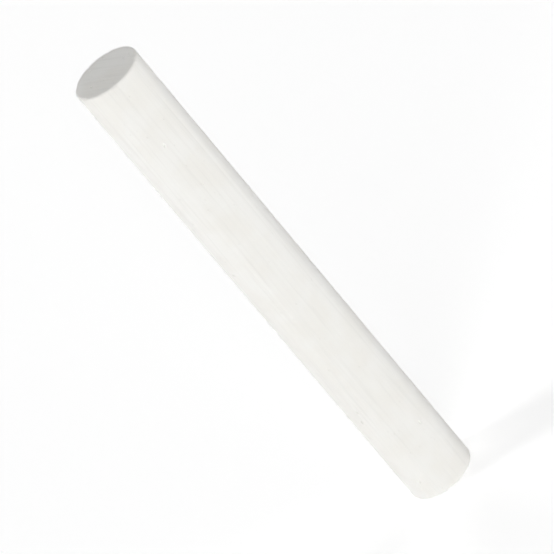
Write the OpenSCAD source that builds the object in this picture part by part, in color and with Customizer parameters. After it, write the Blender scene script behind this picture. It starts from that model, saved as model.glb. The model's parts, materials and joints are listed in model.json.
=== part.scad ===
// White chalk stick: one straight, solid round rod of pressed chalk.
// It stands on one flat end, with the middle of that end at the origin
// and the stick rising along +Z.

/* [Stick] */
// Length from the standing end to the top end
stick_length = 80; // [40:1:150]
// Diameter of the round body
stick_d = 10; // [6:0.5:30]

/* [Ends] */
// Radius that rounds the rim of the standing end
base_rim_r = 0.3; // [0.1:0.05:1.5]
// Radius that rounds the rim of the top end
top_rim_r = 0.3; // [0.1:0.05:1.5]

/* [Hidden] */
stick_r = stick_d / 2;
// The straight wall lies between the two rounded rims
wall_length = stick_length - base_rim_r - top_rim_r;
chalk_white = [0.95, 0.945, 0.925];
$fn = 96;

// Half section of one end, from the axis out to its rounded rim.
// The flat end face lies on y = 0, and the section rises to y = rim_r.
module end_section(rim_r) {
    square([stick_r - rim_r, rim_r]);
    translate([stick_r - rim_r, rim_r])
        intersection() {
            circle(r = rim_r);
            translate([0, -rim_r]) square(rim_r);
        }
}

// Half section of the whole stick: a straight wall between two rounded ends.
module stick_section() {
    end_section(base_rim_r);
    translate([0, base_rim_r]) square([stick_r, wall_length]);
    translate([0, stick_length]) mirror([0, 1]) end_section(top_rim_r);
}

module chalk_stick() {
    color(chalk_white) rotate_extrude() stick_section();
}

chalk_stick();
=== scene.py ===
import json
import math
from collections import namedtuple

import bmesh
import bpy
import numpy as np
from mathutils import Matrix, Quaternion, Vector, kdtree, noise


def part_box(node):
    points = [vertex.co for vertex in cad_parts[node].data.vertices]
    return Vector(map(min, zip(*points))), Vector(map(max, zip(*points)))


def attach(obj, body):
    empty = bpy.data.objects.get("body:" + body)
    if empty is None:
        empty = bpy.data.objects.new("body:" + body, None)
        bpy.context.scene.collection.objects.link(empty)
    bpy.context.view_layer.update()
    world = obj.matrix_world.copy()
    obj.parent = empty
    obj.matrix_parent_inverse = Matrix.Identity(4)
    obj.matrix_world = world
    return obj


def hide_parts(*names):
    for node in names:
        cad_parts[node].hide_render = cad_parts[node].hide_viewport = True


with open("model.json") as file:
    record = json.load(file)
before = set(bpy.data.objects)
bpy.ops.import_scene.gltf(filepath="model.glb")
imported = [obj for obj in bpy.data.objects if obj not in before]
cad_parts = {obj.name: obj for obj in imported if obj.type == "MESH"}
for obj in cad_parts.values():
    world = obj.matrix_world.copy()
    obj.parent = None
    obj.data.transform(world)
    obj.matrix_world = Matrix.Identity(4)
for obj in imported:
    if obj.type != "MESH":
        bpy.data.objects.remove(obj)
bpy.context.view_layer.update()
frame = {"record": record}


# The chalk stick. Chalk powder and a little binder are mixed to a paste, pushed through a round
# die as one long rod, dried hard and cut into sticks with a wire. A stick is solid all through,
# and the rim of each flat end is only just rounded.

mm = 0.001
rod_low, rod_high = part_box("chalk_stick")
rod_r = rod_high.x
rod_top = rod_high.z
barrel = next(mount for mount in frame["record"]["mounts"] if mount["name"] == "barrel")
rim_r = (rod_top - barrel["dims"]["length_mm"] * mm) / 2
flat_r = rod_r - rim_r

# The skin is a wall of quads round the rod and a grid of quads on each end. SKIN and CUT number
# the finishes of the wall and of the two ends.
points_round = 288
ring_gap = 0.8 * mm
rim_steps = 6
SKIN, CUT = 0, 1

# Its colours lay out on a flat sheet of side 1: the wall fills the left of the sheet, and the two
# ends lie one above the other on the right. The export keeps a sheet of this name as it is.
wall_share = 0.7
sheet_gap = 0.005
upper_disc, lower_disc = 0.75, 0.25
rod = bmesh.new()
sheet = rod.loops.layers.uv.new("OFBake")


def rod_rings():
    """Radius and height of each ring of points, from the lower flat to the upper one."""
    bend = np.linspace(0, math.pi / 2, rim_steps + 1)
    rim_radii = flat_r + rim_r * np.sin(bend)
    rim_heights = rim_r - rim_r * np.cos(bend)
    wall_rings = round((rod_top - 2 * rim_r) / ring_gap)
    wall_heights = np.linspace(rim_r, rod_top - rim_r, wall_rings + 1)[1:-1]
    radii = np.concatenate([rim_radii, np.full(len(wall_heights), rod_r), rim_radii[::-1]])
    heights = np.concatenate([rim_heights, wall_heights, rod_top - rim_heights[::-1]])
    return radii, heights


def disc_place(across, along):
    """Where a point of a square from -1 to 1 lands when the square is drawn out into a round disc."""
    reach = max(abs(across), abs(along))
    if reach == 0:
        return 0.0, 0.0
    if abs(across) >= abs(along):
        turn = math.pi / 4 * along / across + (math.pi if across < 0 else 0)
    else:
        turn = math.pi / 2 - math.pi / 4 * across / along + (math.pi if along < 0 else 0)
    return reach * math.cos(turn), reach * math.sin(turn)


def add_face(corners, finish, spots):
    """One face of the skin, and the spot of each of its corners on the flat sheet."""
    face = rod.faces.new(corners)
    face.material_index = finish
    for loop, spot in zip(face.loops, spots):
        loop[sheet].uv = spot


def add_wall():
    """The wall and both rims: rings of points joined by quads, with the sheet's seam at the back."""
    turns = math.pi / 2 + np.arange(points_round) * 2 * math.pi / points_round
    radii, heights = rod_rings()
    rings = []
    for radius, height in zip(radii, heights):
        rings.append([rod.verts.new((radius * math.cos(t), radius * math.sin(t), height)) for t in turns])
    steps = np.hypot(np.diff(radii), np.diff(heights))
    up = sheet_gap + (1 - 2 * sheet_gap) * np.append(0, np.cumsum(steps)) / steps.sum()
    across = np.linspace(sheet_gap, wall_share - sheet_gap, points_round + 1)
    for n in range(len(rings) - 1):
        lower, upper = rings[n], rings[n + 1]
        for k in range(points_round):
            after = (k + 1) % points_round
            corners = (lower[k], lower[after], upper[after], upper[k])
            left, right = across[k], across[k + 1]
            spots = ((left, up[n]), (right, up[n]), (right, up[n + 1]), (left, up[n + 1]))
            add_face(corners, SKIN, spots)


def add_flat(height, upward):
    """One flat end, a grid whose edge meets the inner ring of the rim point for point."""
    side = points_round // 4
    steps = [2 * k / side - 1 for k in range(side + 1)]
    grid = [[disc_place(across, along) for across in steps] for along in steps]
    points = [[rod.verts.new((x * flat_r, y * flat_r, height)) for x, y in row] for row in grid]
    disc_r = (1 - wall_share) / 2 - sheet_gap
    middle = Vector(((1 + wall_share) / 2, upper_disc if upward else lower_disc))
    order = (0, 1, 2, 3) if upward else (3, 2, 1, 0)
    for j in range(side):
        for k in range(side):
            cells = ((j, k), (j, k + 1), (j + 1, k + 1), (j + 1, k))
            corners = [points[cells[n][0]][cells[n][1]] for n in order]
            spots = [middle + disc_r * Vector(grid[cells[n][0]][cells[n][1]]) for n in order]
            add_face(corners, CUT, spots)


add_wall()
add_flat(0.0, upward=False)
add_flat(rod_top, upward=True)
weld = 0.001 * mm
bmesh.ops.remove_doubles(rod, verts=rod.verts, dist=weld)

# Air bubbles in the paste leave deep round pits in both ends, and in the skin, where the die draws
# them out along the rod. Crumbs that break from the rims leave shallow ragged chips. Depth and
# raggedness are given as shares of the radius.
Hollow = namedtuple("Hollow", "place radius depth drawn_out raggedness")
draw = np.random.default_rng(80)
wall_bubbles = 50
end_bubbles = 12
clear_of_rim = 0.9
tiny_bubble, large_bubble = 0.07 * mm, 0.21 * mm
bubble_depth = 0.8
bubble_raggedness = 0.2
bubble_draw = 1.6
rim_chips = 10
small_chip, large_chip = 0.2 * mm, 0.5 * mm
chip_depth = 0.25
chip_raggedness = 0.5


def on_wall(count):
    """Places scattered over the wall."""
    turns = draw.uniform(0, 2 * math.pi, count)
    heights = draw.uniform(2 * rim_r, rod_top - 2 * rim_r, count)
    return [Vector((rod_r * math.cos(t), rod_r * math.sin(t), h)) for t, h in zip(turns, heights)]


def on_flat(count, height):
    """Places scattered over one flat end, clear of its rim."""
    turns = draw.uniform(0, 2 * math.pi, count)
    radii = flat_r * np.sqrt(draw.uniform(0, clear_of_rim, count))
    return [Vector((r * math.cos(t), r * math.sin(t), height)) for t, r in zip(turns, radii)]


def on_rim(count, height):
    """Places scattered round one rim."""
    turns = draw.uniform(0, 2 * math.pi, count)
    return [Vector((rod_r * math.cos(t), rod_r * math.sin(t), height)) for t in turns]


def bubble(place, drawn_out):
    """An air bubble that the surface has cut open. Most are tiny."""
    radius = tiny_bubble + (large_bubble - tiny_bubble) * draw.uniform() ** 2
    return Hollow(place, radius, bubble_depth * radius, drawn_out, bubble_raggedness)


def chip(place):
    """The shallow ragged hollow that a crumb leaves in a rim."""
    radius = draw.uniform(small_chip, large_chip)
    return Hollow(place, radius, chip_depth * radius, 1, chip_raggedness)


hollows = [bubble(place, bubble_draw) for place in on_wall(wall_bubbles)]
for end in (0.0, rod_top):
    hollows += [bubble(place, drawn_out=1) for place in on_flat(end_bubbles, end)]
    hollows += [chip(place) for place in on_rim(rim_chips, end)]

# The quads are cut finer and finer round each hollow, until it has a true round edge and floor.
halvings = 6
finest_share = 0.2
near_hollow = kdtree.KDTree(len(hollows))
for number, hollow in enumerate(hollows):
    near_hollow.insert(hollow.place, number)
near_hollow.balance()


def cut_finer():
    """Halves the long edges of the faces that a hollow reaches."""
    long_edges = set()
    for face in rod.faces:
        middle = face.calc_center_median()
        _, number, _ = near_hollow.find(middle)
        hollow = hollows[number]
        off = middle - hollow.place
        off.z /= hollow.drawn_out
        longest = max(edge.calc_length() for edge in face.edges)
        if off.length < (1 + hollow.raggedness) * hollow.radius + longest / 2:
            finest = finest_share * hollow.radius
            long_edges.update(edge for edge in face.edges if edge.calc_length() > finest)
    bmesh.ops.subdivide_edges(
        rod,
        edges=[edge for edge in rod.edges if edge in long_edges],
        cuts=1,
        use_grid_fill=True,
        use_single_edge=True,
        quad_corner_type="FAN",
    )


for halving in range(halvings):
    cut_finer()

for face in rod.faces:
    face.smooth = True
skin = bpy.data.meshes.new("chalk_skin")
rod.to_mesh(skin)
rod.free()

# Every mark is a depth below the true surface. That surface lies one rim radius outside a smaller
# core, so the way out from the core is the way that each point faces.
count = len(skin.vertices)
flat_list = np.empty(count * 3)
skin.vertices.foreach_get("co", flat_list)
x, y, height = flat_list.reshape(-1, 3).T
turn = np.arctan2(y, x)
radius = np.hypot(x, y)
core_radius = np.minimum(radius, flat_r)
core_height = np.clip(height, rim_r, rod_top - rim_r)
out_side = np.maximum(radius - flat_r, 0)
out_up = height - core_height
out = np.hypot(out_side, out_up)
out_side, out_up = out_side / out, out_up / out
radius = core_radius + rim_r * out_side
height = core_height + rim_r * out_up
places = np.column_stack([radius * np.cos(turn), radius * np.sin(turn), height])
facing = np.column_stack([out_side * np.cos(turn), out_side * np.sin(turn), out_up])
depth = np.zeros(count)

# The die scores faint lines down the skin, and the cutting wire drags fine grooves across both ends.
die_lines = 80
line_widths = (0.12 * mm, 0.35 * mm)
line_depths = (0.004 * mm, 0.025 * mm)
line_reaches = (0.3 * rod_top, 1.5 * rod_top)
line_wander = 0.012
wander_length = 9 * mm
wander_shift = 7
wire_grooves = 40
groove_widths = (0.08 * mm, 0.3 * mm)
groove_depths = (0.002 * mm, 0.009 * mm)
wire_aim = math.radians(35)


def die_line(at, half_width, deep, middle, reach):
    """Depth of one scored line down the skin. It fades from its middle height to its reach each way."""
    wander = line_wander * np.sin(height / wander_length + wander_shift * at)
    off = (turn - at - wander + math.pi) % (2 * math.pi) - math.pi
    along = np.clip(1 - ((height - middle) / reach) ** 2, 0, 1)
    return deep * along * np.exp(-((off * rod_r / half_width) ** 2))


def wire_groove(at, half_width, deep):
    """Depth of one groove that the cutting wire drags straight across an end."""
    off = places[:, 0] * math.cos(wire_aim) + places[:, 1] * math.sin(wire_aim) - at
    return deep * np.exp(-((off / half_width) ** 2))


def lumps_of(points, size):
    """Lumps about this size, from -1 to 1, at each of the points."""
    return np.array([noise.noise(Vector(point / size)) for point in points])


for line in range(die_lines):
    at = draw.uniform(-math.pi, math.pi)
    half_width = draw.uniform(*line_widths)
    deep = draw.uniform(*line_depths)
    middle = draw.uniform(0, rod_top)
    reach = draw.uniform(*line_reaches)
    depth += out_side**2 * die_line(at, half_width, deep, middle, reach)

for upper in (True, False):
    this_end = out_up**2 * ((height > rod_top / 2) == upper)
    for groove in range(wire_grooves):
        at = draw.uniform(-rod_r, rod_r)
        half_width = draw.uniform(*groove_widths)
        deep = draw.uniform(*groove_depths)
        depth += this_end * wire_groove(at, half_width, deep)

# Drying draws the whole surface in by slow lumps, which are longer along the rod than across it.
warp = 0.03 * mm
warp_size = 6.7 * mm
warp_shape = (1, 1, 0.5)
depth += warp * (0.5 + 0.5 * lumps_of(places * warp_shape, warp_size))

# The rims crumble slightly, most of all along the middle of their bend.
crumbled = 0.05 * mm
crumbling_size = 1.1 * mm
crumbling = 0.2
on_rims = 2 * out_side * np.abs(out_up)
depth += crumbled * on_rims * np.clip(lumps_of(places, crumbling_size) + crumbling, 0, 1)

# Last, the bubbles and chips sink in. Each has a round floor, and an edge that strays from a circle.
ragged_size = 0.4 * mm
for hollow in hollows:
    off = np.linalg.norm((places - np.array(hollow.place)) / (1, 1, hollow.drawn_out), axis=1)
    near = np.nonzero(off < (1 + hollow.raggedness) * hollow.radius)[0]
    edge = hollow.radius * (1 + hollow.raggedness * lumps_of(places[near], ragged_size))
    depth[near] += hollow.depth * np.sqrt(np.clip(1 - (off[near] / edge) ** 2, 0, 1))

places -= facing * depth[:, None]
skin.vertices.foreach_set("co", places.ravel())
skin.update()
stick = bpy.data.objects.new("chalk_stick_skin", skin)
scene = bpy.context.scene
scene.collection.objects.link(stick)

# Chalk is dry and dull, and white with a trace of cream. Its skin is drawn out along the rod and
# scored a little greyer by the die, its cut ends are streaked by the wire, and pinholes show in
# both. Each pinhole is darkened with painted shade, a grey that stands in for the shadow inside it.
chalk_white = (0.905, 0.900, 0.877, 1)
chalk_cream = (0.890, 0.880, 0.848, 1)
cream_size = 5 * mm
cream_steps = (0.35, 0.65)
scored_grey = (0.822, 0.815, 0.790, 1)
score_size = 0.4 * mm
score_steps = (0.5, 0.75)
score_tint = 0.5
score_height = 0.5
score_polish = 0.2
# The pinhole grey and its share are painted shade: a grey laid into each pinhole in place of its shadow.
pore_shade_grey = (0.740, 0.732, 0.705, 1)
pore_gap = 0.9 * mm
pore_r = 0.09 * mm
pore_core = 0.3 * pore_r
pore_shade_share = 0.4
pore_depth = 1.2
powder_size = 0.14 * mm
powder_roughness = 0.95
powder_spread = 1.0
powder_gloss = 0.3
relief = 0.05 * mm


class Shade:
    """A socket of a node. Adding, subtracting or multiplying it makes the Math node that does so."""

    def __init__(self, tree, socket=None):
        self.tree = tree
        self.socket = socket

    def node(self, kind, settings, values, output=0):
        """A new node of this kind: its settings first, then the values or links of its sockets."""
        made = self.tree.nodes.new("ShaderNode" + kind)
        for name, setting in settings.items():
            setattr(made, name, setting)
        for name, value in values.items():
            if isinstance(value, Shade):
                self.tree.links.new(value.socket, made.inputs[name])
            else:
                made.inputs[name].default_value = value
        return Shade(self.tree, made.outputs[output] if made.outputs else None)

    def maths(self, operation, one, other):
        """One sum on two values, either of which may be a plain number."""
        return self.node("Math", {"operation": operation}, {0: one, 1: other})

    def __add__(self, other):
        return self.maths("ADD", self, other)

    def __radd__(self, other):
        return self.maths("ADD", other, self)

    def __sub__(self, other):
        return self.maths("SUBTRACT", self, other)

    def __rsub__(self, other):
        return self.maths("SUBTRACT", other, self)

    def __mul__(self, other):
        return self.maths("MULTIPLY", self, other)

    def __rmul__(self, other):
        return self.maths("MULTIPLY", other, self)

    def stretched(self, by):
        """A place with each of its axes multiplied."""
        return self.node("VectorMath", {"operation": "MULTIPLY"}, {0: self, 1: by})

    def grain(self, size, detail):
        """A cloudy pattern from 0 to 1 at this place, whose lumps are about this size."""
        return self.node("TexNoise", {}, {"Vector": self, "Scale": 1 / size, "Detail": detail})

    def specks(self, apart, core, radius):
        """Scattered round spots about this far apart: 1 in the core of each and 0 outside its radius."""
        off = self.node("TexVoronoi", {}, {"Vector": self, "Scale": 1 / apart})
        return 1 - off.between(core / apart, radius / apart)

    def between(self, low, high):
        """A soft step, 0 up to the low value and 1 from the high one."""
        span = {"Value": self, "From Min": low, "From Max": high}
        return self.node("MapRange", {"interpolation_type": "SMOOTHSTEP"}, span)

    def blend(self, one, other):
        """The first colour where this is 0, and the other where it is 1."""
        return self.node("Mix", {"data_type": "RGBA"}, {0: self, 6: one, 7: other}, output=2)


def cleared(owner):
    """A bare start for the nodes of a material or a world."""
    owner.use_nodes = True
    owner.node_tree.nodes.clear()
    return Shade(owner.node_tree)


def chalk_finish(name, score_turn, score_shape, pore_shape, powder_height):
    """A chalk surface. Its lines run along the small axis of score_shape, after a turn about the rod."""
    finish = bpy.data.materials.new(name)
    start = cleared(finish)
    place = start.node("TexCoord", {}, {}, output="Object")
    turned = start.node("VectorRotate", {"rotation_type": "Z_AXIS"}, {"Vector": place, "Angle": score_turn})
    lines = turned.stretched(score_shape).grain(score_size, detail=3)
    scored = lines.between(*score_steps)
    creamy = place.grain(cream_size, detail=2).between(*cream_steps)
    pores = place.stretched(pore_shape).specks(pore_gap, pore_core, pore_r)
    powder = place.grain(powder_size, detail=4)
    tone = creamy.blend(chalk_white, chalk_cream)
    tone = (score_tint * scored).blend(tone, scored_grey)
    # Painted shade: the pinholes are greyed as if shadowed inside.
    tone = (pore_shade_share * pores).blend(tone, pore_shade_grey)
    roughness = powder_roughness - score_polish * scored
    height = score_height * lines + powder_height * powder - pore_depth * pores
    bump = start.node("Bump", {}, {"Height": height, "Strength": 1.0, "Distance": relief})
    shown = {"Base Color": tone, "Roughness": roughness, "Normal": bump}
    dry = {"Diffuse Roughness": powder_spread, "Specular IOR Level": powder_gloss}
    chalk = start.node("BsdfPrincipled", {}, shown | dry)
    start.node("OutputMaterial", {}, {"Surface": chalk})
    return finish


drawn_skin = chalk_finish(
    "chalk_skin",
    score_turn=0,
    score_shape=(1, 1, 0.03),
    pore_shape=(1, 1, 0.5),
    powder_height=0.3,
)
wire_cut = chalk_finish(
    "chalk_cut",
    score_turn=-wire_aim,
    score_shape=(1, 0.05, 1),
    pore_shape=(1, 1, 1),
    powder_height=0.25,
)
skin.materials.append(drawn_skin)
skin.materials.append(wire_cut)
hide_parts("chalk_stick")
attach(stick, "root")


# The floor and the white around it. A wide sheet of white paper lies under the stick, in a white
# room. Both look white to the camera, in mirrors and through glass, but throw less light than that.

paper_half = 6.0
paper_white = (0.8, 0.8, 0.8, 1)
paper_glow = 0.55
room_colour = (1, 1, 1, 1)
room_light = 0.06
room_white = 0.99


def looked_at(start):
    """1 for a ray that the camera, a mirror or glass sends here, and 0 for light on its way to the stick."""
    camera = start.node("LightPath", {}, {}, output="Is Camera Ray")
    mirror = start.node("LightPath", {}, {}, output="Is Glossy Ray")
    glass = start.node("LightPath", {}, {}, output="Is Transmission Ray")
    return camera + mirror + glass


paper = bpy.data.materials.new("white_paper")
start = cleared(paper)
dull = start.node("BsdfDiffuse", {}, {"Color": paper_white})
glow = start.node("Emission", {}, {"Strength": paper_glow})
bright = start.node("AddShader", {}, {0: dull, 1: glow})
shown = start.node("MixShader", {}, {0: looked_at(start), 1: dull, 2: bright})
start.node("OutputMaterial", {}, {"Surface": shown})

paper_sheet = bpy.data.meshes.new("paper_sheet")
corners = [(x * paper_half, y * paper_half, 0) for x, y in ((-1, -1), (1, -1), (1, 1), (-1, 1))]
paper_sheet.from_pydata(corners, [], [(0, 1, 2, 3)])
paper_sheet.materials.append(paper)
floor = bpy.data.objects.new("paper_floor", paper_sheet)
scene.collection.objects.link(floor)

room = bpy.data.worlds.new("white_room")
start = cleared(room)
dim = start.node("Background", {}, {"Color": room_colour, "Strength": room_light})
white = start.node("Background", {}, {"Color": room_colour, "Strength": room_white})
shown = start.node("MixShader", {}, {0: looked_at(start), 1: dim, 2: white})
start.node("OutputWorld", {}, {"Surface": shown})
scene.world = room


# The lamps. Broad soft lamps stand low around the stick, so that its wall is lit more than its top
# end, and one a little higher on the left throws its shadow on the floor.


def lamp(name, side, height, level, spread):
    """A soft lamp, with its angles in degrees: round from the front, above the floor and across itself.

    A level of 1 shows a white sheet that faces the lamp as white.
    """
    light = bpy.data.lights.new(name, "SUN")
    light.energy = level * math.pi
    light.angle = math.radians(spread)
    around, up = math.radians(side), math.radians(height)
    source = Vector((math.sin(around) * math.cos(up), -math.cos(around) * math.cos(up), math.sin(up)))
    stand = bpy.data.objects.new(name, light)
    stand.rotation_mode = "QUATERNION"
    stand.rotation_quaternion = source.to_track_quat("Z", "Y")
    scene.collection.objects.link(stand)


lamp("front_lamp", side=-15, height=8, level=0.79, spread=40)
lamp("fill_lamp", side=35, height=8, level=0.25, spread=40)
lamp("left_lamp", side=-108, height=28, level=0.30, spread=15)
lamp("right_lamp", side=120, height=8, level=0.55, spread=40)
lamp("back_lamp", side=185, height=8, level=0.58, spread=40)


# The camera. It looks down at a slant on the standing stick from well away, with a long lens, and
# is turned about its own line of sight, so that the stick leans to the upper left.

camera_distance = 869 * mm
looking_down = math.radians(27.8)
camera_roll = math.radians(40)
picture_width = 75 * mm
nearest_seen, furthest_seen = 10 * mm, 5.0

stick_middle = (rod_low + rod_high) / 2
towards_camera = Vector((0, -math.cos(looking_down), math.sin(looking_down)))
rolled = Quaternion((0, 0, 1), -camera_roll)
camera = bpy.data.objects.new("camera", bpy.data.cameras.new("camera"))
camera.location = stick_middle + towards_camera * camera_distance
camera.rotation_mode = "QUATERNION"
camera.rotation_quaternion = (-towards_camera).to_track_quat("-Z", "Y") @ rolled
camera.data.lens = camera.data.sensor_width * camera_distance / picture_width
camera.data.clip_start = nearest_seen
camera.data.clip_end = furthest_seen
scene.collection.objects.link(camera)
scene.camera = camera
scene.view_settings.view_transform = "Standard"
